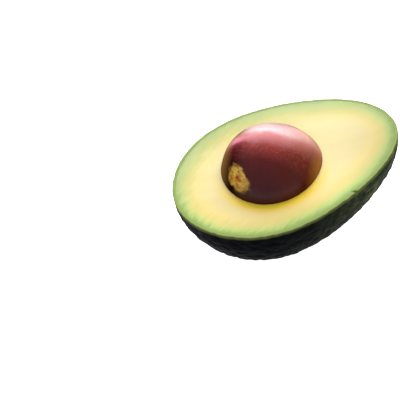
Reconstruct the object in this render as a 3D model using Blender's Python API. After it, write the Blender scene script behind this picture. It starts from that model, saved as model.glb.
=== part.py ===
"""Half an avocado with its stone, lying on its skin with the cut face up and level.

The fruit's long axis is X, with the narrower neck end at +X. Every piece is modelled from the middle
of the cut face, which an empty carries to its height above the table. The world origin is under the
middle of the fruit, on the table.
"""

import math

import bmesh
import bpy
import numpy as np

# The fruit, in metres, measured over the smooth skin without its pebbles
FRUIT_LENGTH = 0.098
FRUIT_WIDTH = 0.0686  # across the middle of the cut face
FRUIT_DEPTH = 0.0370  # below the middle of the cut face
WIDTH_TAPER = -0.19  # how the width changes towards the neck, as a share of itself
DEPTH_TAPER = -0.16  # the same for the depth
END_FULLNESS = 0.10  # fills the neck end out again, and draws the blunt end in
NECK_BEND = -0.0008  # how far the tip of the neck lies to the side, towards -Y
CUT_FACE_HEIGHT = 0.0369  # above the table, so that the deepest skin is pressed to a small flat spot

PEEL_THICKNESS = 0.0013
GAP = 0.0003  # between pieces that touch on the real fruit

# The skin's pebbles: low domes, packed evenly but not in rows
PEBBLE_SPACING = 0.0060
PEBBLE_HEIGHT = 0.00065
PEBBLE_SINK = 0.00025  # the skin between the pebbles lies this far under the smooth skin
PEBBLE_RADIUS = 0.58  # of the spacing
PEBBLE_UNEVENNESS = 0.35  # how much lower the lowest pebbles are than the highest
PEBBLE_SCATTER = 0.45  # how far a pebble strays from an even spiral, as a share of the spacing
PEBBLE_SEED = 7
PRESSED_SMOOTH = 0.003  # the pebbles grow to their full height over this much of the height

# The stone: nearly a ball, a little broader at the blunt end of the fruit, and sunk past its middle
STONE_HALF_AXES = (0.0215, 0.0209, 0.0204)
STONE_TAPER = -0.07
STONE_CENTRE = (-0.0055, 0.0016, -0.0040)  # from the middle of the cut face

# The scar on the stone where it grew from the fruit's stalk: a shallow dish round a low knob
SCAR_DIRECTION = (-0.81, -0.26, 0.53)  # from the stone's middle
SCAR_RADIUS = 0.0056
SCAR_DEPTH = 0.00035
KNOB_RADIUS = 0.0018
KNOB_HEIGHT = 0.0007

# How many squares run along one side of the cube that each form is swelled from. An odd number keeps
# the corners of the mesh off the cut plane.
SKIN_SQUARES = 37
INNER_SQUARES = 15
PIT_SQUARES = 13
STONE_SQUARES = 17

COLOURS = {
    "peel": (0.011, 0.012, 0.009, 1),
    "flesh": (0.90, 0.78, 0.36, 1),
    "stone": (0.075, 0.017, 0.013, 1),
}
ROUGHNESSES = {"peel": 0.45, "flesh": 0.42, "stone": 0.22}


def make_material(name):
    material = bpy.data.materials.new(name)
    material.use_nodes = True
    shader = material.node_tree.nodes["Principled BSDF"]
    shader.inputs["Base Color"].default_value = COLOURS[name]
    shader.inputs["Roughness"].default_value = ROUGHNESSES[name]
    shader.inputs["Metallic"].default_value = 0.0
    return material


def even_sphere(squares):
    """A cube split into a grid and swelled to a unit sphere, with squares of nearly one size."""
    sphere = bmesh.new()
    bmesh.ops.create_cube(sphere, size=2)
    bmesh.ops.subdivide_edges(sphere, edges=sphere.edges[:], cuts=squares - 1, use_grid_fill=True)
    corners = np.tan(np.array([corner.co for corner in sphere.verts]) * math.pi / 4)
    return sphere, corners / np.linalg.norm(corners, axis=1, keepdims=True)


def add_form(name, squares, shape, collection):
    """A closed object whose surface is shape(directions), where the directions point all round."""
    sphere, directions = even_sphere(squares)
    for corner, place in zip(sphere.verts, shape(directions)):
        corner.co = place
    mesh = bpy.data.meshes.new(name)
    sphere.to_mesh(mesh)
    sphere.free()
    mesh.shade_smooth()
    mesh.set_sharp_from_angle(angle=math.radians(50))
    form = bpy.data.objects.new(name, mesh)
    collection.objects.link(form)
    return form


def fruit_surface(directions, inset=0.0):
    """The whole fruit's smooth skin, drawn in by inset: an ellipsoid with a narrower, slightly bent neck."""
    along, across, up = directions.T
    end_change = END_FULLNESS * along**3
    return np.column_stack(
        [
            along * (FRUIT_LENGTH / 2 - inset),
            across * (FRUIT_WIDTH / 2 - inset) * (1 + WIDTH_TAPER * along + end_change)
            + NECK_BEND * np.clip(along, 0, None) ** 2,
            up * (FRUIT_DEPTH - inset) * (1 + DEPTH_TAPER * along + end_change),
        ]
    )


def pebble_centres():
    """Points spread over the fruit on a spiral, each moved a little way at random, and their heights."""
    mean_radius = (FRUIT_LENGTH / 2 * FRUIT_WIDTH / 2 * FRUIT_DEPTH) ** (1 / 3)
    cell_area = PEBBLE_SPACING**2 * math.sqrt(3) / 2
    count = round(4 * math.pi * mean_radius**2 / cell_area)
    turn = np.arange(count) * math.pi * (3 - math.sqrt(5))
    up = 1 - (2 * np.arange(count) + 1) / count
    level = np.sqrt(1 - up**2)
    random = np.random.default_rng(PEBBLE_SEED)
    stray = random.normal(size=(count, 3)) * PEBBLE_SCATTER * PEBBLE_SPACING / mean_radius / 2
    directions = np.column_stack([level * np.cos(turn), level * np.sin(turn), up]) + stray
    directions /= np.linalg.norm(directions, axis=1, keepdims=True)
    return fruit_surface(directions), 1 - PEBBLE_UNEVENNESS * random.random(count)


def pebbled_skin(directions):
    """The smooth skin, raised to a dome round each pebble's centre, and pressed smooth underneath."""
    smooth = fruit_surface(directions)
    outward = smooth / np.array([FRUIT_LENGTH / 2, FRUIT_WIDTH / 2, FRUIT_DEPTH]) ** 2
    outward /= np.linalg.norm(outward, axis=1, keepdims=True)
    centres, heights = pebble_centres()
    apart = np.linalg.norm(smooth[:, None] - centres[None], axis=2)
    domes = heights * (1 - (apart / (PEBBLE_RADIUS * PEBBLE_SPACING)) ** 2)
    relief = PEBBLE_HEIGHT * np.clip(domes, 0, 1).max(axis=1) - PEBBLE_SINK
    pressed = np.clip((smooth[:, 2] + CUT_FACE_HEIGHT) / PRESSED_SMOOTH, 0, 1)
    return smooth + outward * (relief * pressed)[:, None]


def stone_surface(directions, growth=0.0):
    """An ellipsoid with one end broader than the other, grown all round by growth."""
    along = directions[:, :1]
    narrowing = np.hstack([np.ones_like(along), np.repeat(1 + STONE_TAPER * along, 2, axis=1)])
    return directions * (np.array(STONE_HALF_AXES) + growth) * narrowing


def scarred_stone(directions):
    """The stone with its scar: a dish with a rounded edge, and the knob in its middle."""
    smooth = stone_surface(directions)
    scar = np.array(SCAR_DIRECTION) / np.linalg.norm(SCAR_DIRECTION)
    middle = stone_surface(scar[None])
    from_middle = np.linalg.norm(smooth - middle, axis=1)
    dish = SCAR_DEPTH * np.clip(3 * (1 - from_middle / SCAR_RADIUS), 0, 1)
    knob = KNOB_HEIGHT * np.clip(1 - (from_middle / KNOB_RADIUS) ** 2, 0, 1)
    return smooth + directions * (knob - dish)[:, None]


def add_box(name, low, high, collection):
    box = bmesh.new()
    bmesh.ops.create_cube(box, size=1)
    mesh = bpy.data.meshes.new(name)
    for corner in box.verts:
        corner.co = [a + (b - a) * (along + 0.5) for a, b, along in zip(low, high, corner.co)]
    box.to_mesh(mesh)
    box.free()
    placed = bpy.data.objects.new(name, mesh)
    collection.objects.link(placed)
    return placed


def trim(form, cutter, operation):
    """Keeps the part of a form that is inside the cutter (INTERSECT) or outside it (DIFFERENCE)."""
    boolean = form.modifiers.new(cutter.name, "BOOLEAN")
    boolean.operation = operation
    boolean.solver = "EXACT"
    boolean.object = cutter
    cutter.hide_render = True
    cutter.display_type = "WIRE"


def set_in_place(form, parent, location=(0, 0, 0)):
    form.parent = parent
    form.location = location


def middle_of(form):
    """The middle of the form's box in X and Y, once its modifiers have run."""
    bpy.context.view_layer.update()
    finished = form.evaluated_get(bpy.context.evaluated_depsgraph_get())
    corners = np.array([finished.matrix_world @ vertex.co for vertex in finished.data.vertices])
    return (corners.min(axis=0) + corners.max(axis=0))[:2] / 2


def add_peel(parts, cutters, cut_slab, cut_face):
    peel = add_form("peel", SKIN_SQUARES, pebbled_skin, parts)
    hollow = add_form(
        "hollow_of_peel", INNER_SQUARES, lambda all_round: fruit_surface(all_round, PEEL_THICKNESS), cutters
    )
    for form in (peel, hollow):
        set_in_place(form, cut_face)
    trim(peel, cut_slab, "INTERSECT")
    trim(peel, hollow, "DIFFERENCE")
    peel.data.materials.append(make_material("peel"))
    return peel


def add_flesh(parts, cutters, cut_slab, cut_face):
    inset = PEEL_THICKNESS + GAP
    flesh = add_form("flesh", INNER_SQUARES, lambda all_round: fruit_surface(all_round, inset), parts)
    pit = add_form("pit_for_stone", PIT_SQUARES, lambda all_round: stone_surface(all_round, GAP), cutters)
    set_in_place(flesh, cut_face)
    set_in_place(pit, cut_face, STONE_CENTRE)
    trim(flesh, cut_slab, "INTERSECT")
    trim(flesh, pit, "DIFFERENCE")
    flesh.data.materials.append(make_material("flesh"))
    return flesh


def add_stone(parts, cut_face):
    stone = add_form("stone", STONE_SQUARES, scarred_stone, parts)
    set_in_place(stone, cut_face, STONE_CENTRE)
    stone.data.materials.append(make_material("stone"))
    return stone


def main():
    for old in list(bpy.data.objects):
        bpy.data.objects.remove(old, do_unlink=True)
    parts = bpy.data.collections.new("avocado_half")
    cutters = bpy.data.collections.new("cutters")
    for collection in (parts, cutters):
        bpy.context.scene.collection.children.link(collection)
    cutters.hide_render = True

    cut_face = bpy.data.objects.new("cut_face_middle", None)
    parts.objects.link(cut_face)
    cut_face.location.z = CUT_FACE_HEIGHT

    reach = FRUIT_LENGTH
    cut_slab = add_box("between_table_and_cut", (-reach, -reach, -CUT_FACE_HEIGHT), (reach, reach, 0), cutters)
    set_in_place(cut_slab, cut_face)

    peel = add_peel(parts, cutters, cut_slab, cut_face)
    add_flesh(parts, cutters, cut_slab, cut_face)
    add_stone(parts, cut_face)

    # The pebbles reach a little further out on one side than on the other
    cut_face.location.x, cut_face.location.y = -middle_of(peel)
    bpy.context.view_layer.update()


main()
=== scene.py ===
# %% [markdown]
# # Half an avocado
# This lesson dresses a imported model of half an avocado. The frame holds three plain solids: the peel,
# the flesh and the stone. Each of them is replaced here by a finer surface of the same form, worked
# out with numpy, and gets a material made of nodes.

# %% Load the frame and measure it
import math

import bpy
import numpy as np
from mathutils import Matrix, Vector


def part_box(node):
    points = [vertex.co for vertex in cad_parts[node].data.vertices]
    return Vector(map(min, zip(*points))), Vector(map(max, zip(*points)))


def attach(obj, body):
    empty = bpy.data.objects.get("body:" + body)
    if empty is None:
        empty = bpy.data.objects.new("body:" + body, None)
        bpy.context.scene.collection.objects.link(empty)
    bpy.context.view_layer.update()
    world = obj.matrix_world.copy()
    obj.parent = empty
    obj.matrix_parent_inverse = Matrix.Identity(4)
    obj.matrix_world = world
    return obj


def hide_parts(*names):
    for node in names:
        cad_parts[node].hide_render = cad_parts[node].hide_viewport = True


MM = 0.001

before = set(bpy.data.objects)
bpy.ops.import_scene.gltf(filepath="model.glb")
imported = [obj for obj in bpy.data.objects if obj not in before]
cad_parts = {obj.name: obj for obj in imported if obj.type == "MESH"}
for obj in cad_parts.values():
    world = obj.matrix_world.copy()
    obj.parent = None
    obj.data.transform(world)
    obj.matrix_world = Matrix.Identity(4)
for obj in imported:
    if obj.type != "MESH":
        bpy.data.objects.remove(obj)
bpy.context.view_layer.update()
flesh_low, flesh_high = (np.array(corner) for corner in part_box("flesh"))
cut_middle = np.append((flesh_low + flesh_high)[:2] / 2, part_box("peel")[1].z)
print("the cut face's middle:", np.round(cut_middle / MM, 2), "mm")

# %% [markdown]
# ## Helpers
# Blender mixes colours in linear light, while a colour picked from a picture is sRGB, so one function
# turns hex values to linear. Another adds a node with its settings and links, so that a material
# reads as a short list. The last one makes a closed surface from a grid: every row is a ring round
# the piece, and the first and last rows have shrunk to a point.

# %% Colours and nodes


def linear(hex_colour):
    """sRGB hex to linear RGBA: below 0.04 a straight line, above it a power of 2.4."""
    channels = np.array([int(hex_colour[i : i + 2], 16) for i in (1, 3, 5)]) / 255
    curve = np.where(channels <= 0.04045, channels / 12.92, ((channels + 0.055) / 1.055) ** 2.4)
    return (*curve.tolist(), 1.0)


def add_node(material, kind, links, stops=None, **settings):
    """Adds a node. links maps an input's name or number to a value or to another node's output. Of a
    colour ramp's stops, the first two are those that a new ramp has, and the others are added."""
    node = material.node_tree.nodes.new("ShaderNode" + kind)
    for name, value in settings.items():
        setattr(node, name, value)
    for name, value in links.items():
        if isinstance(value, bpy.types.NodeSocket):
            material.node_tree.links.new(value, node.inputs[name])
        else:
            node.inputs[name].default_value = value
    for number, (place, hex_colour) in enumerate(stops or []):
        ramp = node.color_ramp.elements
        stop = ramp[number] if number < 2 else ramp.new(place)
        stop.position = place
        stop.color = linear(hex_colour)
    return node


def new_material(name):
    """An empty material, whose nodes the next lines add."""
    material = bpy.data.materials.new(name)
    material.use_nodes = True
    material.node_tree.nodes.clear()
    return material


print("linear cream:", np.round(linear("#f9f1b3"), 3))

# %% Surfaces from grids


def in_mesh_order(grid):
    """A grid's values in the order of the mesh's points: first pole, rings, last pole."""
    rings = grid[1:-1].reshape((-1,) + grid.shape[2:])
    return np.concatenate([grid[:1, 0], rings, grid[-1:, 0]])


def add_surface(name, grid, **values):
    """A closed surface through grid[row, column]. Rows run from the lower pole to the upper one, and
    columns run anticlockwise seen from above, so that the faces point outwards. Each of the values is
    a grid of numbers that the mesh keeps for its material."""
    rows, columns = grid.shape[:2]
    ring = 1 + np.arange((rows - 2) * columns).reshape(rows - 2, columns)
    beside = np.roll(ring, -1, axis=1)
    first, last = np.zeros(columns, int), np.full(columns, ring.max() + 1)
    squares = np.stack([ring[:-1], beside[:-1], beside[1:], ring[1:]], axis=-1).reshape(-1, 4)
    caps = np.concatenate(
        [
            np.stack([first, beside[0], ring[0]], axis=-1),
            np.stack([ring[-1], beside[-1], last], axis=-1),
        ]
    )
    mesh = bpy.data.meshes.new(name)
    mesh.from_pydata(in_mesh_order(grid).tolist(), [], squares.tolist() + caps.tolist())
    mesh.shade_smooth()
    for key, numbers in values.items():
        kept = mesh.attributes.new(key, "FLOAT", "POINT")
        kept.data.foreach_set("value", in_mesh_order(numbers).astype(np.float32))
    piece = bpy.data.objects.new(name, mesh)
    bpy.context.scene.collection.objects.link(piece)
    print(name, "has", 2 * len(squares) + len(caps), "triangles")
    return piece


# %% [markdown]
# ## The form of the fruit
# An avocado is close to an ellipsoid that narrows towards the stalk. Seen from the middle of the cut
# face, every direction meets the skin once, so the skin is a function of a direction: an ellipsoid
# whose width and depth shrink in step with the distance along the fruit. A cubic term fills the neck
# out again, and a square term bends it a little to one side. Drawing the half axes in by the peel's
# thickness gives the peel's inside and the outside of the flesh.

# %% Skin and directions
FRUIT_LENGTH, FRUIT_WIDTH, FRUIT_DEPTH = 98.0 * MM, 68.6 * MM, 37.0 * MM
WIDTH_TAPER, DEPTH_TAPER, END_FULLNESS = -0.19, -0.16, 0.10
NECK_BEND = -0.8 * MM
QUARTER_TURN = math.pi / 2


def directions(around, down):
    """Unit vectors: around is the turn about the vertical, and down the dip below the cut plane."""
    level = np.cos(down)
    return np.stack([level * np.cos(around), level * np.sin(around), -np.sin(down) + 0 * around], axis=-1)


def fruit_surface(all_round, inset=0.0):
    """Points of the fruit: half axes less inset, times 1 + taper * x + fullness * x cubed."""
    x, y, z = np.moveaxis(all_round, -1, 0)
    fullness = END_FULLNESS * x**3
    bend = NECK_BEND * np.clip(x, 0, None) ** 2
    across = y * (FRUIT_WIDTH / 2 - inset) * (1 + WIDTH_TAPER * x + fullness) + bend
    up = z * (FRUIT_DEPTH - inset) * (1 + DEPTH_TAPER * x + fullness)
    return np.stack([x * (FRUIT_LENGTH / 2 - inset), across, up], axis=-1)


def turns(columns):
    """The turn of each column of a grid, from 0 to just under a full turn."""
    return np.arange(columns) * 2 * math.pi / columns


rim_outline = fruit_surface(directions(turns(720), 0.0))
print("the cut face is", np.round(np.ptp(rim_outline, axis=0)[:2] / MM, 1), "mm")

# %% [markdown]
# ## The pebbled skin
# The skin of this kind of avocado is covered in low, hard pebbles a few millimetres across, with
# narrow creases between them. A bump texture would leave the outline smooth, so the pebbles are real
# relief. Their centres lie on a spiral round the fruit, which spreads points evenly but not in rows,
# and each is moved a little at random. Every point of the skin takes the height of the tallest dome
# over it, which leaves a crease where two domes meet. Two sizes of pebble are laid over each other.

# %% Pebbles
SEED = 7
PEBBLE_SCATTER = 0.45  # how far a pebble strays, as a share of the spacing
COARSE_PEBBLES = {"spacing": 6.0 * MM, "height": 0.38 * MM, "radius": 0.58, "unevenness": 0.35}
FINE_PEBBLES = {"spacing": 3.1 * MM, "height": 0.30 * MM, "radius": 0.60, "unevenness": 0.45}


def spread_over_fruit(spacing, random):
    """Points on a spiral whose turn grows by the golden angle, about one spacing apart."""
    mean_radius = (FRUIT_LENGTH / 2 * FRUIT_WIDTH / 2 * FRUIT_DEPTH) ** (1 / 3)
    count = round(4 * math.pi * mean_radius**2 / (spacing**2 * math.sqrt(3) / 2))
    turn = np.arange(count) * math.pi * (3 - math.sqrt(5))
    up = 1 - (2 * np.arange(count) + 1) / count
    level = np.sqrt(1 - up**2)
    stray = random.normal(size=(count, 3)) * PEBBLE_SCATTER * spacing / mean_radius / 2
    all_round = np.column_stack([level * np.cos(turn), level * np.sin(turn), up]) + stray
    return fruit_surface(all_round / np.linalg.norm(all_round, axis=1, keepdims=True))


def pebble_relief(grid, spacing, height, radius, unevenness):
    """The tallest dome over each point: height * (1 - (distance / radius) squared), row by row. The
    radius is a share of the spacing, and the lowest dome is lower by the unevenness."""
    random = np.random.default_rng(SEED)
    centres = spread_over_fruit(spacing, random)
    heights = height * (1 - unevenness * random.random(len(centres)))
    heights, centres = heights[centres[:, 2] < spacing], centres[centres[:, 2] < spacing]
    relief = np.empty(grid.shape[:2])
    for row, points in enumerate(grid):
        apart = (points**2).sum(axis=1)[:, None] + (centres**2).sum(axis=1) - 2 * points @ centres.T
        relief[row] = (heights * (1 - apart / (radius * spacing) ** 2)).max(axis=1)
    return np.clip(relief, 0, None)


whole_fruit = spread_over_fruit(COARSE_PEBBLES["spacing"], np.random.default_rng(SEED))
print("coarse pebbles on the whole fruit:", len(whole_fruit))

# %% [markdown]
# ## The peel
# The peel is a leathery bowl about a millimetre thick. One grid covers all of it: the rows climb the
# outside from the spot that it rests on, cross the cut edge, and go down the inside. The points below
# the table are lifted onto it, which is the small flat spot that the weight of the fruit presses. A
# knife never leaves a perfect plane, so the cut has two long, very low waves, and its near edge has a
# small nick that opens outwards.

# %% Height of the cut
CUT_WAVE_HEIGHT = 0.07 * MM
CUT_WAVE_STEPS = ((13 * MM, 21 * MM), (-17 * MM, 9 * MM))  # along X and Y, for a radian of each wave
NICK_PLACE = (18.6 * MM, -30.4 * MM)
NICK_TURN = math.radians(146)
NICK_SIZE = (3.4 * MM, 0.75 * MM)  # half its length and half its width
NICK_DEPTH = 0.5 * MM


def cut_height(x, y):
    """The sum of two waves, less the nick: depth * (1 - u squared - v squared) inside an ellipse."""
    waves = CUT_WAVE_HEIGHT * sum(np.sin(x / x_step + y / y_step) for x_step, y_step in CUT_WAVE_STEPS)
    ahead, aside = x - NICK_PLACE[0], y - NICK_PLACE[1]
    u = (ahead * math.cos(NICK_TURN) + aside * math.sin(NICK_TURN)) / NICK_SIZE[0]
    v = (aside * math.cos(NICK_TURN) - ahead * math.sin(NICK_TURN)) / NICK_SIZE[1]
    return waves - NICK_DEPTH * np.clip(1 - u**2 - v**2, 0, 1)


print("the middle of the nick is", round(-cut_height(*NICK_PLACE) / MM, 2), "mm below the cut plane")

# %% Outside of the peel
PEBBLE_SINK = 0.28 * MM  # the skin between the pebbles lies this far under the smooth skin
PRESSED_HEIGHT, PRESSED_SHARE = 3 * MM, 0.25  # pebbles under this height are pressed to this share
RELIEF_FADE, SHARE_AT_CUT = 4 * MM, 0.4  # over this depth they grow from this share at the cut


def peel_outside(around, down):
    """The smooth skin moved along its normal by the pebbles' relief, and the relief itself."""
    smooth = fruit_surface(directions(around, down))
    outward = smooth / np.array([FRUIT_LENGTH / 2, FRUIT_WIDTH / 2, FRUIT_DEPTH]) ** 2
    outward /= np.linalg.norm(outward, axis=-1, keepdims=True)
    domes = pebble_relief(smooth, **COARSE_PEBBLES) + pebble_relief(smooth, **FINE_PEBBLES)
    pressed = np.clip((smooth[..., 2] + cut_middle[2]) / PRESSED_HEIGHT, PRESSED_SHARE, 1)
    near_cut = np.interp(-smooth[..., 2], [0, RELIEF_FADE], [SHARE_AT_CUT, 1])
    relief = (domes - PEBBLE_SINK) * pressed * near_cut
    return smooth + outward * relief[..., None], domes


# %% Peel mesh
PEEL_THICKNESS = 1.3 * MM
PEEL_COLUMNS = 560
PEEL_ROWS = 130
INSIDE_ROWS = 14
TALLEST_PEBBLE = 0.6 * MM
rim_steps = np.array([0.0, 0.05, 0.14, 0.3, 0.5, 0.7, 0.88, 1.0])  # shares of the way across the cut edge
rim_drops = np.array([0.16, 0.05, 0.0, 0.0, 0.0, 0.0, 0.01, 0.03]) * MM  # both corners are a little round

around = turns(PEEL_COLUMNS)[None]
outer_down = np.linspace(QUARTER_TURN, 0, PEEL_ROWS)[:, None]
outside, pebbles = peel_outside(around, outer_down)
outer_edge = outside[-1]
inner_edge = fruit_surface(directions(around[0], 0.0), PEEL_THICKNESS)
across = rim_steps[1:-1, None, None]
edge_rows = outer_edge * (1 - across) + inner_edge * across
inner_down = np.linspace(0, QUARTER_TURN, INSIDE_ROWS)[:, None]
inside = fruit_surface(directions(around, inner_down), PEEL_THICKNESS)
peel_grid = np.concatenate([outside, edge_rows, inside])
on_cut = PEEL_ROWS - 1 + np.arange(len(rim_steps))
edge_height = cut_height(peel_grid[on_cut, :, 0], peel_grid[on_cut, :, 1])
peel_grid[on_cut, :, 2] += edge_height - rim_drops[:, None]
peel_grid[..., 2] = np.maximum(peel_grid[..., 2], -cut_middle[2])
across_cut = np.interp(np.arange(len(peel_grid)), on_cut, rim_steps)
no_pebbles = np.zeros((len(peel_grid) - PEEL_ROWS, PEEL_COLUMNS))
peel = add_surface(
    "peel_fine",
    peel_grid + cut_middle,
    across_cut=np.repeat(across_cut[:, None], PEEL_COLUMNS, axis=1),
    below_cut=-peel_grid[..., 2] / MM,
    pebble=np.concatenate([pebbles, no_pebbles]) / TALLEST_PEBBLE,
)

# %% [markdown]
# ## The stone
# The stone is nearly a ball, a little broader towards the blunt end of the fruit. Its middle lies four
# millimetres under the cut face. Its grid has its pole at the scar, where the stalk's vessels entered,
# because the scar's ragged outline is then a radius that changes with the turn round that pole.

# %% Form of the stone
STONE_HALF_AXES = np.array([21.5, 20.9, 20.4]) * MM
STONE_TAPER = -0.07
STONE_CENTRE = np.array([-5.5, 1.6, -4.0]) * MM
SCAR_RADIUS = 5.5 * MM
RAGGED_WAVES = (
    (0.18, 2, 2.3),
    (0.05, 3, 5.4),
    (0.04, 1, 6.0),
    (0.03, 5, 4.0),
    (0.02, 8, 1.3),
    (0.015, 13, 5.2),
)  # the size, the count round the scar and the start of each wave in its outline

scar_direction = np.array([-0.81, -0.26, 0.53])
scar_direction /= np.linalg.norm(scar_direction)


def stone_surface(all_round, growth=0.0):
    """An ellipsoid whose width and height are multiplied by 1 + taper * x."""
    narrowing = 1 + STONE_TAPER * all_round[..., :1]
    stretched = all_round * (STONE_HALF_AXES + growth)
    return np.concatenate([stretched[..., :1], stretched[..., 1:] * narrowing], axis=-1)


def ragged(around):
    """The scar's outline as a share of its radius: a sum of waves round it, uneven as torn skin."""
    return 1 + sum(size * np.sin(count * around + start) for size, count, start in RAGGED_WAVES)


scar_middle = stone_surface(scar_direction)
print("the scar is", round((scar_middle + STONE_CENTRE)[2] / MM, 1), "mm above the cut plane")

# %% Stone mesh
STONE_COLUMNS, STONE_ROWS = 320, 170
ROW_CROWDING = 0.75  # a power under 1 brings the rows closer together towards the scar
DISH_DEPTH, LIP_HEIGHT, FOLD_HEIGHT, DENT_HEIGHT = (size * MM for size in (0.35, 0.12, 0.05, 0.10))
KNOB_HEIGHT, KNOB_RADIUS = 0.55 * MM, 1.5 * MM
DENT_WAVES = np.array([[3.1, 4.3, 2.2], [-2.6, 1.7, 5.0]])  # two waves across the stone that cross

aside = np.cross(scar_direction, [0, 0, 1])
aside /= np.linalg.norm(aside)
over = np.cross(scar_direction, aside)
from_pole = math.pi * (1 - np.linspace(0, 1, STONE_ROWS)[:, None] ** ROW_CROWDING)
round_pole = turns(STONE_COLUMNS)[None, :, None]
stone_round = (
    np.cos(from_pole)[..., None] * scar_direction
    + np.sin(from_pole)[..., None] * (np.cos(round_pole) * aside + np.sin(round_pole) * over)
)
smooth_stone = stone_surface(stone_round)
scar_distance = np.linalg.norm(smooth_stone - scar_middle, axis=-1)
scar_reach = scar_distance / (SCAR_RADIUS * ragged(turns(STONE_COLUMNS)))
dish = DISH_DEPTH * np.clip(4 * (1 - scar_reach), 0, 1)
lip = LIP_HEIGHT * np.exp(-(((scar_reach - 1.06) / 0.08) ** 2))
knob = KNOB_HEIGHT * np.exp(-((scar_distance / KNOB_RADIUS) ** 2))
fold_turn = turns(STONE_COLUMNS) + 0.5 * np.sin(2 * turns(STONE_COLUMNS) + 1)
between_edge_and_knob = np.clip(scar_reach * (1 - scar_reach) * 4, 0, 1)
folds = FOLD_HEIGHT * np.sin(7 * fold_turn + 3 * scar_reach) * between_edge_and_knob
dents = DENT_HEIGHT * np.sin(stone_round @ DENT_WAVES[0] + 1) * np.sin(stone_round @ DENT_WAVES[1])
stone_relief = knob + lip + folds + dents - dish
stone_grid = smooth_stone + stone_round * stone_relief[..., None]
stone = add_surface(
    "stone_fine", stone_grid + STONE_CENTRE + cut_middle, scar=scar_reach, scar_mm=scar_distance / MM
)

# %% [markdown]
# ## The flesh
# The flesh fills the peel and holds the stone. Its grid starts at the lowest point of the outside,
# climbs inside the peel, crosses the cut face from the peel to the stone, and goes down into the pit.
# The cut face is where a viewer looks, so most rows are there, closest together at both of its edges.
# It sinks a little towards the stone, where a real half has a shallow hollow. Each point keeps its
# distances from the peel and from the stone, which is what its colour follows.

# %% Flesh mesh
FLESH_COLUMNS = 420
CUT_ROWS = 130
WALL_ROWS = 26
SKIN_GAP = 0.04 * MM
PIT_GAP = 0.04 * MM
HOLLOW_DEPTH, HOLLOW_WIDTH = 0.16 * MM, 4 * MM
EDGE_ROUNDING = 0.15 * MM
RIM_DROP = 0.02 * MM
FAR_AWAY = 20 * MM  # stands for the distance across the flesh on its hidden walls


def nearest(points, outline):
    """The distance from each point to the nearest point of an outline, row by row."""
    distances = np.empty(points.shape[:2])
    for row, places in enumerate(points):
        apart = places[:, None, :2] - outline[None, :, :2]
        distances[row] = np.sqrt((apart**2).sum(axis=-1)).min(axis=1)
    return distances


flesh_around = turns(FLESH_COLUMNS)[None]
flesh_inset = PEEL_THICKNESS + SKIN_GAP
wall_down = np.linspace(QUARTER_TURN, 0, WALL_ROWS)[:, None]
outer_wall = fruit_surface(directions(flesh_around, wall_down), flesh_inset)

# The dip at which the pit meets the cut plane depends on the taper there, so a few rounds settle it
pit_top = np.zeros(FLESH_COLUMNS)
for _ in range(6):
    narrowing = 1 + STONE_TAPER * np.cos(pit_top) * np.cos(flesh_around[0])
    pit_top = np.arcsin(STONE_CENTRE[2] / ((STONE_HALF_AXES[2] + PIT_GAP) * narrowing))
pit_down = np.linspace(pit_top, QUARTER_TURN, WALL_ROWS)
pit_wall = stone_surface(directions(flesh_around, pit_down), PIT_GAP) + STONE_CENTRE
step = (1 - np.cos(np.linspace(0, math.pi, CUT_ROWS)))[1:-1, None, None] / 2
face = outer_wall[-1] * (1 - step) + pit_wall[0] * step
from_peel = nearest(face, outer_wall[-1])
from_stone = nearest(face, pit_wall[0])
hollow_relief = -HOLLOW_DEPTH * np.exp(-((from_stone / HOLLOW_WIDTH) ** 2))
edge_relief = -EDGE_ROUNDING * np.clip(1 - from_stone / EDGE_ROUNDING, 0, 1) ** 2
face[..., 2] = hollow_relief + edge_relief + cut_height(face[..., 0], face[..., 1])
pit_wall[0, :, 2] = -EDGE_ROUNDING - HOLLOW_DEPTH
outer_wall[-1, :, 2] = cut_height(outer_wall[-1, :, 0], outer_wall[-1, :, 1]) - RIM_DROP
flesh_grid = np.concatenate([outer_wall, face, pit_wall])
far = np.full((WALL_ROWS, FLESH_COLUMNS), FAR_AWAY)
flesh = add_surface(
    "flesh_fine",
    flesh_grid + cut_middle,
    from_peel=np.concatenate([far * 0, from_peel, far]) / MM,
    from_stone=np.concatenate([far, from_stone, far * 0]) / MM,
)

# %% [markdown]
# ## Colour inside the nick
# Inside the nick in the rim, both the peel and the flesh are a darker green. The nick is an ellipse on
# the cut face, so a Mapping node that is placed, turned and scaled like it makes it a ball of radius 1,
# and the distance from its middle says what is inside.

# %% Colour inside the nick
NICK_COLOUR = "#46542a"
NICK_HEIGHT = 2 * MM  # how far above and below the cut plane the colour reaches


def with_nick(material, place, colour):
    """Mixes the nick's colour into another one, by the distance from the middle of its ellipse."""
    middle = (cut_middle[0] + NICK_PLACE[0], cut_middle[1] + NICK_PLACE[1], cut_middle[2])
    size = (*NICK_SIZE, NICK_HEIGHT)
    placed = {"Vector": place, "Location": middle, "Rotation": (0, 0, NICK_TURN), "Scale": size}
    inside = add_node(material, "Mapping", placed, vector_type="TEXTURE")
    reach = add_node(material, "VectorMath", {0: inside.outputs["Vector"]}, operation="LENGTH")
    fade = {"Value": reach.outputs["Value"], "From Min": 1.15, "From Max": 0.6, "To Max": 0.9}
    share = add_node(material, "MapRange", fade)
    links = {0: share.outputs["Result"], 6: colour, 7: linear(NICK_COLOUR)}
    return add_node(material, "Mix", links, data_type="RGBA").outputs[2]


print("linear colour of the nick:", np.round(linear(NICK_COLOUR), 3))
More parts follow.
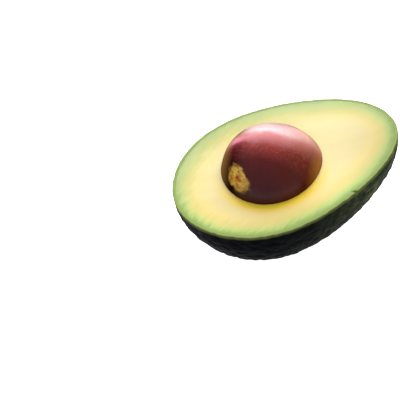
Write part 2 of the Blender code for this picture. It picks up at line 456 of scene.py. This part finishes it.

# %% [markdown]
# ## Skin of the peel
# The outside of a ripe avocado is nearly black, and here it turns dark olive green towards the
# neck. The tops of the pebbles are painted lighter than the creases, which is a painted highlight on
# the tops and painted shade in the creases, in uneven patches. Noise at two sizes makes the patches,
# and the relief that the mesh keeps finds the tops. Just under the cut the skin has a thin olive collar.

# %% Peel: from nearly black to dark green
PATCHES, BLOTCHES = 70, 260  # to a metre, so about 14 mm and 4 mm across
peel_skin = new_material("waxy_pebbled_peel")
place = add_node(peel_skin, "TexCoord", {}).outputs["Object"]
patches = add_node(
    peel_skin, "TexNoise", {"Vector": place, "Scale": PATCHES, "Detail": 4, "Roughness": 0.6}
)
height = add_node(peel_skin, "Attribute", {}, attribute_name="pebble").outputs["Fac"]
patchy = add_node(
    peel_skin, "MapRange", {"Value": patches.outputs["Fac"], "From Min": 0.32, "From Max": 0.68}
)
blotches = add_node(
    peel_skin, "TexNoise", {"Vector": place, "Scale": BLOTCHES, "Detail": 3, "Roughness": 0.6}
)
blotchy = add_node(
    peel_skin, "MapRange", {"Value": blotches.outputs["Fac"], "From Min": 0.35, "From Max": 0.65}
)
# Painted highlight on the pebbles' tops and painted shade in the creases between them
painted_lit_tops = add_node(
    peel_skin, "Math", {0: height, 1: 0.6, 2: blotchy.outputs["Result"]}, operation="MULTIPLY_ADD"
)
lit = add_node(
    peel_skin, "Math", {0: painted_lit_tops.outputs[0], 1: patchy.outputs["Result"]}, operation="MULTIPLY"
)
ripe_colour = add_node(
    peel_skin,
    "ValToRGB",
    {"Fac": lit.outputs[0]},
    stops=[(0.0, "#010102"), (0.9, "#05070c"), (0.35, "#020306")],
)
olive_colour = add_node(
    peel_skin,
    "ValToRGB",
    {"Fac": lit.outputs[0]},
    stops=[(0.0, "#12160e"), (1.0, "#404726"), (0.3, "#1b2216"), (0.65, "#2b331b")],
)
towards_neck = add_node(peel_skin, "SeparateXYZ", {"Vector": place})
greenness = add_node(
    peel_skin, "MapRange", {"Value": towards_neck.outputs["X"], "From Min": -18 * MM, "From Max": 34 * MM}
)
skin_colour = add_node(
    peel_skin,
    "Mix",
    {0: greenness.outputs["Result"], 6: ripe_colour.outputs["Color"], 7: olive_colour.outputs["Color"]},
    data_type="RGBA",
)
cut_depth = add_node(peel_skin, "Attribute", {}, attribute_name="below_cut").outputs["Fac"]
collar = add_node(
    peel_skin, "MapRange", {"Value": cut_depth, "From Min": 1.8, "From Max": 0.2, "To Max": 0.9}
)
collared = add_node(
    peel_skin,
    "Mix",
    {0: collar.outputs["Result"], 6: skin_colour.outputs[2], 7: linear("#565c30")},
    data_type="RGBA",
)
print("peel material so far:", len(peel_skin.node_tree.nodes), "nodes")

# %% [markdown]
# The cut edge of the peel is not black. Next to the flesh it is green, and it goes through a brownish
# line to the dark skin. The mesh keeps how far across the edge each point is. Noise makes the lines
# uneven, and they are a little darker at the neck.

# %% Peel: cut edge
EDGE_FLECKS = 450  # to a metre, so about 2 mm across
edge_place = add_node(peel_skin, "Attribute", {}, attribute_name="across_cut").outputs["Fac"]
edge_uneven = add_node(peel_skin, "TexNoise", {"Vector": place, "Scale": EDGE_FLECKS, "Detail": 3})
edge_shift = add_node(
    peel_skin, "Math", {0: edge_uneven.outputs["Fac"], 1: 0.5, 2: edge_place}, operation="MULTIPLY_ADD"
)
neck_shift = add_node(
    peel_skin, "Math", {0: greenness.outputs["Result"], 1: 0.10, 2: 0.22}, operation="MULTIPLY_ADD"
)
edge_share = add_node(
    peel_skin, "Math", {0: edge_shift.outputs[0], 1: neck_shift.outputs[0]}, operation="SUBTRACT"
)
edge_colour = add_node(
    peel_skin,
    "ValToRGB",
    {"Fac": edge_share.outputs[0]},
    stops=[(0.0, "#3a3b20"), (1.0, "#8fa65a"), (0.06, "#5c5c30"), (0.15, "#80824a"), (0.28, "#869c5a")],
)
on_edge = add_node(peel_skin, "Math", {0: edge_place, 1: 0.02}, operation="GREATER_THAN")
peel_colour = add_node(
    peel_skin,
    "Mix",
    {0: on_edge.outputs[0], 6: collared.outputs[2], 7: edge_colour.outputs["Color"]},
    data_type="RGBA",
)
print("peel material so far:", len(peel_skin.node_tree.nodes), "nodes")

# %% [markdown]
# The skin's natural wax is thin and dull, so its gloss is weak and rough, and fine pores break it up.

# %% Peel: gloss
PORES = 1500  # to a metre, so about 0.7 mm apart, which is coarser than real ones so that they show
pores = add_node(peel_skin, "TexNoise", {"Vector": place, "Scale": PORES, "Detail": 2})
pore_bump = add_node(
    peel_skin, "Bump", {"Height": pores.outputs["Fac"], "Strength": 0.25, "Distance": 0.05 * MM}
)
peel_rough = add_node(
    peel_skin, "MapRange", {"Value": patches.outputs["Fac"], "To Min": 0.5, "To Max": 0.7}
)
peel_shader = add_node(
    peel_skin,
    "BsdfPrincipled",
    {
        "Base Color": with_nick(peel_skin, place, peel_colour.outputs[2]),
        "Roughness": peel_rough.outputs["Result"],
        "Normal": pore_bump.outputs["Normal"],
        "IOR": 1.2,
        "Specular IOR Level": 0.05,
    },
)
add_node(peel_skin, "OutputMaterial", {"Surface": peel_shader.outputs["BSDF"]})
peel.data.materials.append(peel_skin)
print("peel material:", len(peel_skin.node_tree.nodes), "nodes")

# %% [markdown]
# ## The flesh's colours
# Avocado flesh is green where it touches the peel and turns through yellow-green to cream within
# about a centimetre. The distance from the peel that the mesh keeps drives two colour ramps, and the
# one for the far side is paler, partly as painted light from the window behind. The band isn't even:
# broad noise shifts it, and so do fine smears that the knife drew across it, which are strongest at
# the blunt end. In front it is painted a little darker towards the neck, as painted shade.

# %% Flesh: green band
GREEN_REACH = 14.0  # mm from the peel to the plain cream
BROAD_SHIFTS, SMEARS = 60, 560  # to a metre, so about 17 mm and 2 mm across
flesh_skin = new_material("moist_cut_flesh")
place = add_node(flesh_skin, "TexCoord", {}).outputs["Object"]
broad = add_node(flesh_skin, "TexNoise", {"Vector": place, "Scale": BROAD_SHIFTS, "Detail": 3})
peel_mm = add_node(flesh_skin, "Attribute", {}, attribute_name="from_peel").outputs["Fac"]
uneven = add_node(
    flesh_skin, "MapRange", {"Value": broad.outputs["Fac"], "To Min": -1.6, "To Max": 1.6}
)
smear_stretch = add_node(
    flesh_skin,
    "Mapping",
    {"Vector": place, "Rotation": (0, 0, math.radians(26)), "Scale": (3.6, 1, 1)},
    vector_type="TEXTURE",
)
smears = add_node(
    flesh_skin, "TexNoise", {"Vector": smear_stretch.outputs["Vector"], "Scale": SMEARS, "Detail": 2}
)
smear_mm = add_node(
    flesh_skin, "MapRange", {"Value": smears.outputs["Fac"], "To Min": -2.3, "To Max": 2.3}
)
sides = add_node(flesh_skin, "SeparateXYZ", {"Vector": place})
smear_side = add_node(
    flesh_skin,
    "MapRange",
    {"Value": sides.outputs["X"], "From Min": 12 * MM, "From Max": -12 * MM, "To Min": 0.3},
)
band_edge = add_node(
    flesh_skin,
    "Math",
    {0: smear_mm.outputs["Result"], 1: smear_side.outputs["Result"], 2: uneven.outputs["Result"]},
    operation="MULTIPLY_ADD",
)
shifted = add_node(flesh_skin, "Math", {0: peel_mm, 1: band_edge.outputs[0]}, operation="ADD")
green_share = add_node(flesh_skin, "Math", {0: shifted.outputs[0], 1: GREEN_REACH}, operation="DIVIDE")
near_side = add_node(
    flesh_skin,
    "ValToRGB",
    {"Fac": green_share.outputs[0]},
    stops=[
        (0.0, "#8aa452"),
        (1.0, "#dfd39c"),
        (0.07, "#93b156"),
        (0.14, "#acc267"),
        (0.26, "#c7ca78"),
        (0.43, "#dacb7c"),
        (0.65, "#e3d28a"),
    ],
)
# The far side's paler ramp is partly painted light from the window behind
far_side_with_painted_light = add_node(
    flesh_skin,
    "ValToRGB",
    {"Fac": green_share.outputs[0]},
    stops=[
        (0.0, "#9aab6c"),
        (1.0, "#dcd29c"),
        (0.05, "#a3b373"),
        (0.21, "#afbb73"),
        (0.37, "#c0bf75"),
        (0.62, "#d5cc8b"),
    ],
)
# Painted shade: towards the neck the near side is multiplied darker
neck_share = add_node(
    flesh_skin,
    "MapRange",
    {"Value": sides.outputs["X"], "From Min": 10 * MM, "From Max": 40 * MM},
    interpolation_type="SMOOTHSTEP",
)
neck_painted_shade = add_node(
    flesh_skin,
    "Mix",
    {0: neck_share.outputs["Result"], 6: near_side.outputs["Color"], 7: linear("#e5e2dc")},
    data_type="RGBA",
    blend_type="MULTIPLY",
)
how_far = add_node(
    flesh_skin, "MapRange", {"Value": sides.outputs["Y"], "From Min": -5 * MM, "From Max": 20 * MM}
)
banded = add_node(
    flesh_skin,
    "Mix",
    {0: how_far.outputs["Result"], 6: neck_painted_shade.outputs[2], 7: far_side_with_painted_light.outputs["Color"]},
    data_type="RGBA",
)
print("flesh material so far:", len(flesh_skin.node_tree.nodes), "nodes")

# %% [markdown]
# The blunt end of the flesh is a little warmer than the rest, most of all in front. Next to the stone
# the flesh is a deeper yellow, which follows the distance from the stone that the mesh keeps. It is
# strong in front of the stone, where the stone's shadow falls, and there it is painted shade; it
# hardly shows behind it.

# %% Flesh: warmth, yellow and painted shade
YELLOW_REACH = 8.0  # mm from the stone to the plain cream
FORWARDS = (-0.30, -0.95, 0.0)
blunt_end = add_node(
    flesh_skin,
    "MapRange",
    {"Value": sides.outputs["X"], "From Min": 10 * MM, "From Max": -6 * MM},
    interpolation_type="SMOOTHSTEP",
)
near_half = add_node(
    flesh_skin,
    "MapRange",
    {"Value": sides.outputs["Y"], "From Min": 26 * MM, "From Max": -4 * MM, "To Min": 0.3},
)
warm_share = add_node(
    flesh_skin,
    "Math",
    {0: blunt_end.outputs["Result"], 1: near_half.outputs["Result"]},
    operation="MULTIPLY",
)
warmed = add_node(
    flesh_skin,
    "Mix",
    {0: warm_share.outputs[0], 6: banded.outputs[2], 7: linear("#fffcf2")},
    data_type="RGBA",
    blend_type="MULTIPLY",
)
stone_mm = add_node(flesh_skin, "Attribute", {}, attribute_name="from_stone").outputs["Fac"]
yellow_share = add_node(flesh_skin, "Math", {0: stone_mm, 1: YELLOW_REACH}, operation="DIVIDE")
yellow_amount = add_node(
    flesh_skin,
    "ValToRGB",
    {"Fac": yellow_share.outputs[0]},
    stops=[(0.0, "#ffffff"), (1.0, "#000000"), (0.3, "#fafafa"), (0.5, "#b4b4b4"), (0.74, "#404040")],
)
in_front = add_node(flesh_skin, "VectorMath", {0: place, 1: FORWARDS}, operation="DOT_PRODUCT")
# Stronger in front of the stone, where its shadow falls: painted shade in mustard yellow
shadow_side_share = add_node(
    flesh_skin,
    "MapRange",
    {"Value": in_front.outputs["Value"], "From Min": 3 * MM, "From Max": 18 * MM, "To Min": 0.06},
)
yellow_and_painted_shade = add_node(
    flesh_skin,
    "Math",
    {0: yellow_amount.outputs["Color"], 1: shadow_side_share.outputs["Result"]},
    operation="MULTIPLY",
)
mustard = add_node(
    flesh_skin,
    "ValToRGB",
    {"Fac": yellow_share.outputs[0]},
    stops=[(0.0, "#fcd048"), (1.0, "#ffd726"), (0.2, "#ffd83c")],
)
flesh_colour = add_node(
    flesh_skin,
    "Mix",
    {0: yellow_and_painted_shade.outputs[0], 6: warmed.outputs[2], 7: mustard.outputs["Color"]},
    data_type="RGBA",
)
print("flesh material so far:", len(flesh_skin.node_tree.nodes), "nodes")

# %% [markdown]
# Faint streaks run where the knife drew over the flesh, and fine fibres break up its moist gloss.
# Light goes a millimetre or two into the flesh and comes out again softer, which subsurface
# scattering gives.

# %% Flesh: streaks, fibres and gloss
STREAKS, FIBRES = 110, 500  # to a metre, so about 9 mm and 2 mm across; real fibres are finer
streak_stretch = add_node(
    flesh_skin,
    "Mapping",
    {"Vector": place, "Rotation": (0, 0, math.radians(-13)), "Scale": (6, 1, 1)},
    vector_type="TEXTURE",
)
streaks = add_node(
    flesh_skin, "TexNoise", {"Vector": streak_stretch.outputs["Vector"], "Scale": STREAKS, "Detail": 1}
)
streak_tone = add_node(
    flesh_skin,
    "ValToRGB",
    {"Fac": streaks.outputs["Fac"]},
    stops=[(0.3, "#faf8f1"), (0.7, "#ffffff")],
)
streaked = add_node(
    flesh_skin,
    "Mix",
    {0: 1.0, 6: flesh_colour.outputs[2], 7: streak_tone.outputs["Color"]},
    data_type="RGBA",
    blend_type="MULTIPLY",
)
grain_stretch = add_node(
    flesh_skin, "Mapping", {"Vector": place, "Rotation": (0, 0, math.radians(25)), "Scale": (0.25, 1, 1)}
)
fibres = add_node(
    flesh_skin, "TexNoise", {"Vector": grain_stretch.outputs["Vector"], "Scale": FIBRES, "Detail": 3}
)
face_bump = add_node(
    flesh_skin, "Bump", {"Height": fibres.outputs["Fac"], "Strength": 0.3, "Distance": 0.08 * MM}
)
flesh_shader = add_node(
    flesh_skin,
    "BsdfPrincipled",
    {
        "Base Color": with_nick(flesh_skin, place, streaked.outputs[2]),
        "Roughness": 0.38,
        "IOR": 1.38,
        "Specular IOR Level": 0.4,
        "Normal": face_bump.outputs["Normal"],
        "Subsurface Weight": 0.7,
        "Subsurface Radius": (1.0, 0.75, 0.25),
        "Subsurface Scale": 2 * MM,
    },
)
add_node(flesh_skin, "OutputMaterial", {"Surface": flesh_shader.outputs["BSDF"]})
flesh.data.materials.append(flesh_skin)
print("flesh material:", len(flesh_skin.node_tree.nodes), "nodes")

# %% [markdown]
# ## The stone's coat
# A fresh stone wears a thin, smooth, wet coat. Its colour changes from the front to the back, along a
# line that points towards the window and carries a painted highlight, and from the left to the right.
# So the material first works out where a point lies along these two lines, from the stone's middle.
# Noise shifts the first, so that no colour ends in a straight line.

# %% Stone: places on the coat
BACKWARDS, TO_THE_RIGHT = (0.64, 0.77, 0.0), (0.77, -0.64, 0.0)
COAT_REACH = 21 * MM  # from the stone's middle to its front and its back
CLOUDS = 90  # to a metre, so about 11 mm across
stone_skin = new_material("wet_seed_coat")
place = add_node(stone_skin, "TexCoord", {}).outputs["Object"]
cloud = add_node(stone_skin, "TexNoise", {"Vector": place, "Scale": CLOUDS, "Detail": 3})
from_middle = add_node(
    stone_skin,
    "VectorMath",
    {0: place, 1: cut_middle + STONE_CENTRE},
    operation="SUBTRACT",
)
backwards = add_node(
    stone_skin, "VectorMath", {0: from_middle.outputs[0], 1: BACKWARDS}, operation="DOT_PRODUCT"
)
coat_place = add_node(
    stone_skin,
    "MapRange",
    {"Value": backwards.outputs["Value"], "From Min": -COAT_REACH, "From Max": COAT_REACH},
)
cloud_shift = add_node(
    stone_skin, "MapRange", {"Value": cloud.outputs["Fac"], "To Min": -0.07, "To Max": 0.07}
)
clouded = add_node(
    stone_skin, "Math", {0: coat_place.outputs["Result"], 1: cloud_shift.outputs["Result"]}, operation="ADD"
)
sideways = add_node(
    stone_skin, "VectorMath", {0: from_middle.outputs[0], 1: TO_THE_RIGHT}, operation="DOT_PRODUCT"
)
print("stone material so far:", len(stone_skin.node_tree.nodes), "nodes")

# %% [markdown]
# The coat is a dark reddish brown in front and brown again at the back. Over the crown the ramps are
# pink, which is a painted highlight laid under the window's broad highlight there. One colour ramp
# gives this for the middle, a more russet one for the right and a plum one for the left.

# %% Stone: coat colours and painted highlight
# The pale pink stops over the crown in these three ramps are a painted highlight
crown_coat_with_painted_highlight = add_node(
    stone_skin,
    "ValToRGB",
    {"Fac": clouded.outputs[0]},
    stops=[
        (0.05, "#3a1018"),
        (1.0, "#42181a"),
        (0.25, "#551414"),
        (0.425, "#8c302e"),
        (0.56, "#c2686e"),
        (0.62, "#cfaeb0"),
        (0.7, "#c08684"),
        (0.77, "#84443e"),
        (0.84, "#4e201c"),
    ],
)
russet_end_with_painted_highlight = add_node(
    stone_skin,
    "ValToRGB",
    {"Fac": clouded.outputs[0]},
    stops=[
        (0.05, "#4a1004"),
        (1.0, "#421a16"),
        (0.25, "#471004"),
        (0.425, "#661f10"),
        (0.58, "#9c564a"),
        (0.79, "#c48a84"),
        (0.87, "#542620"),
    ],
)
plum_end_with_painted_highlight = add_node(
    stone_skin,
    "ValToRGB",
    {"Fac": clouded.outputs[0]},
    stops=[
        (0.05, "#080103"),
        (1.0, "#3c1614"),
        (0.25, "#140205"),
        (0.39, "#46101a"),
        (0.435, "#7c2f3b"),
        (0.47, "#cc788c"),
        (0.51, "#d08a98"),
        (0.57, "#a26c62"),
        (0.66, "#5e2c2a"),
    ],
)
to_russet = add_node(
    stone_skin,
    "MapRange",
    {"Value": sideways.outputs["Value"], "From Min": 1 * MM, "From Max": 16 * MM},
    interpolation_type="SMOOTHSTEP",
)
to_plum = add_node(
    stone_skin,
    "MapRange",
    {"Value": sideways.outputs["Value"], "From Min": -2 * MM, "From Max": -16 * MM},
    interpolation_type="SMOOTHSTEP",
)
half_coat_and_highlight = add_node(
    stone_skin,
    "Mix",
    {0: to_russet.outputs["Result"], 6: crown_coat_with_painted_highlight.outputs["Color"], 7: russet_end_with_painted_highlight.outputs["Color"]},
    data_type="RGBA",
)
coat_and_highlight_colour = add_node(
    stone_skin,
    "Mix",
    {0: to_plum.outputs["Result"], 6: half_coat_and_highlight.outputs[2], 7: plum_end_with_painted_highlight.outputs["Color"]},
    data_type="RGBA",
)
print("stone material so far:", len(stone_skin.node_tree.nodes), "nodes")

# %% [markdown]
# The coat is finely mottled where it lies loose over the seed, which is a speckle of a lighter red
# between the front and the crown.

# %% Stone: mottling
SPECKLES = 900  # to a metre, so about 1 mm across
speckle = add_node(
    stone_skin, "TexNoise", {"Vector": place, "Scale": SPECKLES, "Detail": 3, "Roughness": 0.55}
)
speckle_amount = add_node(
    stone_skin,
    "MapRange",
    {"Value": speckle.outputs["Fac"], "From Min": 0.48, "From Max": 0.70, "To Max": 0.36},
)
speckle_zone = add_node(
    stone_skin,
    "MapRange",
    {"Value": clouded.outputs[0], "From Min": 0.26, "From Max": 0.44, "To Min": 0.05},
)
speckle_share = add_node(
    stone_skin,
    "Math",
    {0: speckle_amount.outputs["Result"], 1: speckle_zone.outputs["Result"]},
    operation="MULTIPLY",
)
mottled = add_node(
    stone_skin,
    "Mix",
    {0: speckle_share.outputs[0], 6: coat_and_highlight_colour.outputs[2], 7: linear("#b05846")},
    data_type="RGBA",
)
print("stone material so far:", len(stone_skin.node_tree.nodes), "nodes")

# %% [markdown]
# At the left of its front the coat is painted olive brown, and at the right golden brown: a painted
# reflection of the yellow flesh beside the stone. Each margin is strongest at the stone's outline and
# fades over a few millimetres.

# %% Stone: margins of painted reflection
# Painted reflection of the yellow flesh along the stone's left and right outline
olive_reflection_margin = add_node(
    stone_skin,
    "MapRange",
    {"Value": sideways.outputs["Value"], "From Min": -13 * MM, "From Max": -19 * MM, "To Max": 0.85},
    interpolation_type="SMOOTHSTEP",
)
olive_front = add_node(
    stone_skin, "MapRange", {"Value": coat_place.outputs["Result"], "From Min": 0.7, "From Max": 0.52}
)
olive_reflection_share = add_node(
    stone_skin,
    "Math",
    {0: olive_reflection_margin.outputs["Result"], 1: olive_front.outputs["Result"]},
    operation="MULTIPLY",
)
left_painted_reflection = add_node(
    stone_skin,
    "Mix",
    {0: olive_reflection_share.outputs[0], 6: mottled.outputs[2], 7: linear("#765428")},
    data_type="RGBA",
)
golden_reflection_margin = add_node(
    stone_skin,
    "MapRange",
    {"Value": sideways.outputs["Value"], "From Min": 13.5 * MM, "From Max": 21.5 * MM, "To Max": 0.92},
    interpolation_type="SMOOTHSTEP",
)
golden_front = add_node(
    stone_skin, "MapRange", {"Value": coat_place.outputs["Result"], "From Min": 0.78, "From Max": 0.56}
)
golden_reflection_share = add_node(
    stone_skin,
    "Math",
    {0: golden_reflection_margin.outputs["Result"], 1: golden_front.outputs["Result"]},
    operation="MULTIPLY",
)
golden_reflection_colour = add_node(
    stone_skin,
    "ValToRGB",
    {"Fac": golden_reflection_margin.outputs["Result"]},
    stops=[(0.35, "#4c1c0f"), (0.9, "#9c6a2a")],
)
both_painted_reflections = add_node(
    stone_skin,
    "Mix",
    {0: golden_reflection_share.outputs[0], 6: left_painted_reflection.outputs[2], 7: golden_reflection_colour.outputs["Color"]},
    data_type="RGBA",
)
print("stone material so far:", len(stone_skin.node_tree.nodes), "nodes")

# %% [markdown]
# Low down at the back the coat is plain brown. The brown starts further forward on the left than on
# the right.

# %% Stone: back
BACK_SLANT = -0.008 / MM
stone_axes = add_node(stone_skin, "SeparateXYZ", {"Vector": from_middle.outputs[0]})
low_down = add_node(
    stone_skin, "MapRange", {"Value": stone_axes.outputs["Z"], "From Min": 12 * MM, "From Max": 7 * MM}
)
turned_back = add_node(
    stone_skin,
    "Math",
    {0: sideways.outputs["Value"], 1: BACK_SLANT, 2: coat_place.outputs["Result"]},
    operation="MULTIPLY_ADD",
)
behind = add_node(
    stone_skin, "MapRange", {"Value": turned_back.outputs[0], "From Min": 0.55, "From Max": 0.68}
)
back_share = add_node(
    stone_skin,
    "Math",
    {0: low_down.outputs["Result"], 1: behind.outputs["Result"]},
    operation="MULTIPLY",
)
all_round = add_node(
    stone_skin,
    "Mix",
    {0: back_share.outputs[0], 6: both_painted_reflections.outputs[2], 7: linear("#5c2c20")},
    data_type="RGBA",
)
print("stone material so far:", len(stone_skin.node_tree.nodes), "nodes")

# %% [markdown]
# The scar shows the pale seed under the coat, with a rusty spot in its middle. Its colour follows the
# distance from its middle, and its edge follows the ragged outline that the mesh keeps, torn finer by
# noise. A stretched noise is the dirt in its grain.

# %% Stone: scar
SCAR_COLOUR_REACH = 8.0  # mm from the scar's middle to the last of its colours
SCAR_FLECKS, SCAR_GRAIN = 600, 800  # to a metre, so a little over 1 mm across
scar_share = add_node(stone_skin, "Attribute", {}, attribute_name="scar").outputs["Fac"]
scar_mm = add_node(stone_skin, "Attribute", {}, attribute_name="scar_mm").outputs["Fac"]
scar_noise = add_node(stone_skin, "TexNoise", {"Vector": place, "Scale": SCAR_FLECKS, "Detail": 4})
scar_shift = add_node(
    stone_skin, "Math", {0: scar_noise.outputs["Fac"], 1: 2.2, 2: scar_mm}, operation="MULTIPLY_ADD"
)
scar_place = add_node(
    stone_skin, "Math", {0: scar_shift.outputs[0], 1: SCAR_COLOUR_REACH}, operation="DIVIDE"
)
scar_colour = add_node(
    stone_skin,
    "ValToRGB",
    {"Fac": scar_place.outputs[0]},
    stops=[(0.14, "#b4481f"), (1.0, "#8a6c34"), (0.27, "#c2803e"), (0.45, "#cfae5c"), (0.72, "#bf9f50")],
)
torn = add_node(
    stone_skin, "Math", {0: scar_noise.outputs["Fac"], 1: 0.6, 2: scar_share}, operation="MULTIPLY_ADD"
)
in_scar = add_node(stone_skin, "MapRange", {"Value": torn.outputs[0], "From Min": 1.42, "From Max": 1.18})
scar_stretch = add_node(
    stone_skin,
    "Mapping",
    {"Vector": place, "Rotation": (0, 0, math.radians(-70)), "Scale": (2.2, 1, 1)},
    vector_type="TEXTURE",
)
scar_grain = add_node(
    stone_skin,
    "TexNoise",
    {"Vector": scar_stretch.outputs["Vector"], "Scale": SCAR_GRAIN, "Detail": 4, "Roughness": 0.7},
)
scar_dirt = add_node(
    stone_skin,
    "ValToRGB",
    {"Fac": scar_grain.outputs["Fac"]},
    stops=[(0.34, "#86663a"), (0.6, "#fffbe8"), (0.45, "#dcc892")],
)
scar_dirty = add_node(
    stone_skin,
    "Mix",
    {0: 1.0, 6: scar_colour.outputs["Color"], 7: scar_dirt.outputs["Color"]},
    data_type="RGBA",
    blend_type="MULTIPLY",
)
stone_colour = add_node(
    stone_skin,
    "Mix",
    {0: in_scar.outputs["Result"], 6: all_round.outputs[2], 7: scar_dirty.outputs[2]},
    data_type="RGBA",
)
print("stone material so far:", len(stone_skin.node_tree.nodes), "nodes")

# %% [markdown]
# The coat is wet and smooth, so it has a clear gloss, which the mottling softens a little. The film of
# juice thins out to the left and the right, and the IOR falls there, so that the reflection of the
# window leaves the painted reflections of the margins clear. The scar is dry and rough.

# %% Stone: gloss
WETTEST_PLACE = 3 * MM  # to the right of the stone's middle
stone_rough = add_node(
    stone_skin, "MapRange", {"Value": in_scar.outputs["Result"], "To Min": 0.30, "To Max": 0.6}
)
off_crown = add_node(
    stone_skin, "Math", {0: sideways.outputs["Value"], 1: WETTEST_PLACE}, operation="SUBTRACT"
)
off_side = add_node(stone_skin, "Math", {0: off_crown.outputs[0]}, operation="ABSOLUTE")
wetness = add_node(
    stone_skin,
    "MapRange",
    {"Value": off_side.outputs[0], "From Min": 11 * MM, "From Max": 16 * MM, "To Min": 1.5, "To Max": 1.03},
)
coat_bump = add_node(
    stone_skin, "Bump", {"Height": speckle.outputs["Fac"], "Strength": 0.15, "Distance": 0.06 * MM}
)
stone_shader = add_node(
    stone_skin,
    "BsdfPrincipled",
    {
        "Base Color": stone_colour.outputs[2],
        "Roughness": stone_rough.outputs["Result"],
        "IOR": wetness.outputs["Result"],
        "Specular IOR Level": 0.19,
        "Normal": coat_bump.outputs["Normal"],
    },
)
add_node(stone_skin, "OutputMaterial", {"Surface": stone_shader.outputs["BSDF"]})
stone.data.materials.append(stone_skin)
print("stone material:", len(stone_skin.node_tree.nodes), "nodes")

# %% [markdown]
# ## Hand the pieces to the frame
# Each fine piece stands for one plain solid of the frame and rides on the only body there is.

# %% Ride and replace
for piece, node in ((peel, "peel"), (flesh, "flesh"), (stone, "stone")):
    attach(piece, "root")
    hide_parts(node)
print("pieces:", [piece.name for piece in (peel, flesh, stone)])

# %% [markdown]
# ## Studio
# The photograph's ground is white with hardly a shadow, so the fruit lies on matt paper that glows
# just enough to stay white. A pale world lights it from all round. One large window stands behind it,
# a little to the right: the stone gets a broad soft highlight along its far side, and the skin that
# faces the viewer stays dark.

# %% Floor
FLOOR_REACH = 3.0
white_paper = new_material("white_paper")
paper_shader = add_node(
    white_paper,
    "BsdfPrincipled",
    {
        "Base Color": linear("#f9f9f9"),
        "Roughness": 0.9,
        "Specular IOR Level": 0.1,
        "Emission Color": (1, 1, 1, 1),
        "Emission Strength": 1.0,
    },
)
add_node(white_paper, "OutputMaterial", {"Surface": paper_shader.outputs["BSDF"]})
floor_corners = [(x * FLOOR_REACH, y * FLOOR_REACH, 0) for x, y in ((-1, -1), (1, -1), (1, 1), (-1, 1))]
floor_mesh = bpy.data.meshes.new("floor")
floor_mesh.from_pydata(floor_corners, [], [(0, 1, 2, 3)])
floor = bpy.data.objects.new("floor", floor_mesh)
floor.data.materials.append(white_paper)
bpy.context.scene.collection.objects.link(floor)
print("the floor is", 2 * FLOOR_REACH, "m wide")

# %% World and window
WORLD_STRENGTH = 0.68
LIGHT_AZIMUTH, LIGHT_ELEVATION = math.radians(58), math.radians(29.5)  # seen from the cut face
LIGHT_DISTANCE = 1.15
LIGHT_HALF_WIDTH, LIGHT_HALF_HEIGHT = math.radians(32), math.radians(28.5)  # as angles seen from there
LIGHT_RADIANCE = 4.9

world = bpy.data.worlds.new("studio")
bpy.context.scene.world = world
world.use_nodes = True
world.node_tree.nodes["Background"].inputs["Color"].default_value = (1, 1, 1, 1)
world.node_tree.nodes["Background"].inputs["Strength"].default_value = WORLD_STRENGTH

towards_light = Vector(
    (
        math.cos(LIGHT_AZIMUTH) * math.cos(LIGHT_ELEVATION),
        math.sin(LIGHT_AZIMUTH) * math.cos(LIGHT_ELEVATION),
        math.sin(LIGHT_ELEVATION),
    )
)
window = bpy.data.lights.new("window", "AREA")
window.shape = "RECTANGLE"
window.size = 2 * LIGHT_DISTANCE * math.tan(LIGHT_HALF_WIDTH)
window.size_y = 2 * LIGHT_DISTANCE * math.tan(LIGHT_HALF_HEIGHT)
window.energy = LIGHT_RADIANCE * window.size * window.size_y * math.pi  # radiance times area times pi
window_light = bpy.data.objects.new("window", window)
window_light.location = Vector(cut_middle) + towards_light * LIGHT_DISTANCE
window_light.rotation_euler = towards_light.to_track_quat("Z", "Y").to_euler()
bpy.context.scene.collection.objects.link(window_light)

# %% [markdown]
# ## Camera
# The photograph was taken from in front and above, a little turned to the left and tilted. The angles
# were fitted to the outlines of the cut face, the stone and the skin. The fruit stays right of the
# middle of the picture, as it is in the photograph.

# %% Camera
PICTURE_PIXELS = 400
CUT_MIDDLE_PIXEL = (285.7, 162.55)  # from the left and the top
CAMERA_AZIMUTH, CAMERA_ELEVATION, CAMERA_ROLL = (math.radians(angle) for angle in (-103.99, 47.06, 13.04))
CAMERA_DISTANCE = 0.8206
FOCAL_PIXELS = 1992.7
SENSOR_WIDTH = 36.0

back = Vector(
    (
        math.cos(CAMERA_AZIMUTH) * math.cos(CAMERA_ELEVATION),
        math.sin(CAMERA_AZIMUTH) * math.cos(CAMERA_ELEVATION),
        math.sin(CAMERA_ELEVATION),
    )
)
level_right = Vector((0, 0, 1)).cross(back).normalized()
level_up = back.cross(level_right)
right = level_right * math.cos(CAMERA_ROLL) - level_up * math.sin(CAMERA_ROLL)
up = level_right * math.sin(CAMERA_ROLL) + level_up * math.cos(CAMERA_ROLL)
per_pixel = CAMERA_DISTANCE / FOCAL_PIXELS
shift_right = (CUT_MIDDLE_PIXEL[0] - PICTURE_PIXELS / 2) * per_pixel
shift_up = (PICTURE_PIXELS / 2 - CUT_MIDDLE_PIXEL[1]) * per_pixel
stand = Vector(cut_middle) - right * shift_right - up * shift_up + back * CAMERA_DISTANCE
camera_data = bpy.data.cameras.new("camera")
camera_data.sensor_width = SENSOR_WIDTH
camera_data.lens = FOCAL_PIXELS * SENSOR_WIDTH / PICTURE_PIXELS
camera_data.clip_start = 0.05
camera = bpy.data.objects.new("camera", camera_data)
camera.matrix_world = Matrix.Translation(stand) @ Matrix((right, up, back)).transposed().to_4x4()
bpy.context.scene.collection.objects.link(camera)
bpy.context.scene.camera = camera
bpy.context.scene.view_settings.view_transform = "Standard"
print("lens:", round(camera_data.lens, 1), "mm")
